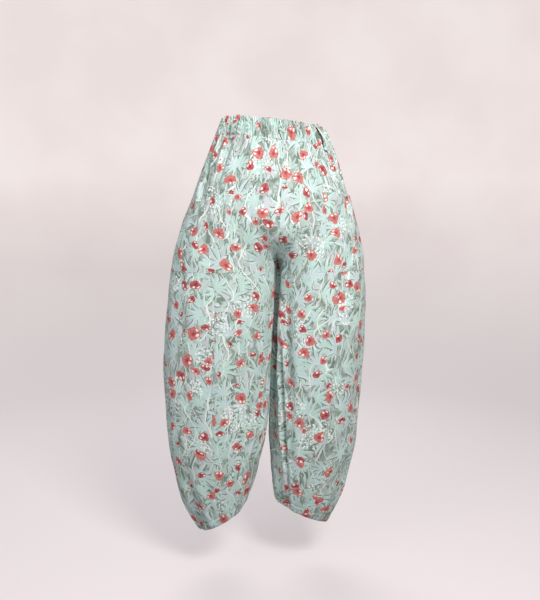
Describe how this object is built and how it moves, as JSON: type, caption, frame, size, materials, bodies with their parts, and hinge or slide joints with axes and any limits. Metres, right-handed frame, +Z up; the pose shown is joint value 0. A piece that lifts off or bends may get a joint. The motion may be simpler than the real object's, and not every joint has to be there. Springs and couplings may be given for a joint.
{
  "type": "barrel leg trousers",
  "caption": "Pull-on barrel leg trousers in printed woven cotton, worn and hollow, with an elastic gathered back waist, belt loops and hip patch pockets.",
  "frame": {"origin": "centre of the waist opening, about 5 mm above the waist seam", "axes": "+Z up towards the waist, +X to the wearer's left, -Y the way the wearer faces"},
  "size_m": [0.4837, 0.2507, 0.9815],
  "materials": {
    "printed_cotton": "matt plain-woven cotton with a floral print",
    "waistband_cotton": "matt plain-woven cotton, gathered on elastic",
    "trim_cotton": "matt plain-woven cotton, folded and topstitched",
    "hem_cotton": "matt plain-woven cotton, turned twice and stitched"
  },
  "bodies": {
    "root": {"back_panel_left": "printed_cotton", "side_panel_left": "printed_cotton", "front_panel_left": "printed_cotton", "back_panel_right": "printed_cotton", "side_panel_right": "printed_cotton", "front_panel_right": "printed_cotton", "waistband_back": "waistband_cotton", "waistband_front": "waistband_cotton", "hem_left": "hem_cotton", "hem_right": "hem_cotton", "hip_pocket_left": "printed_cotton", "hip_pocket_right": "printed_cotton", "belt_loop_back_left": "trim_cotton", "belt_loop_back_right": "trim_cotton", "belt_loop_front_left": "trim_cotton", "belt_loop_front_right": "trim_cotton"}
  },
  "joints": []
}
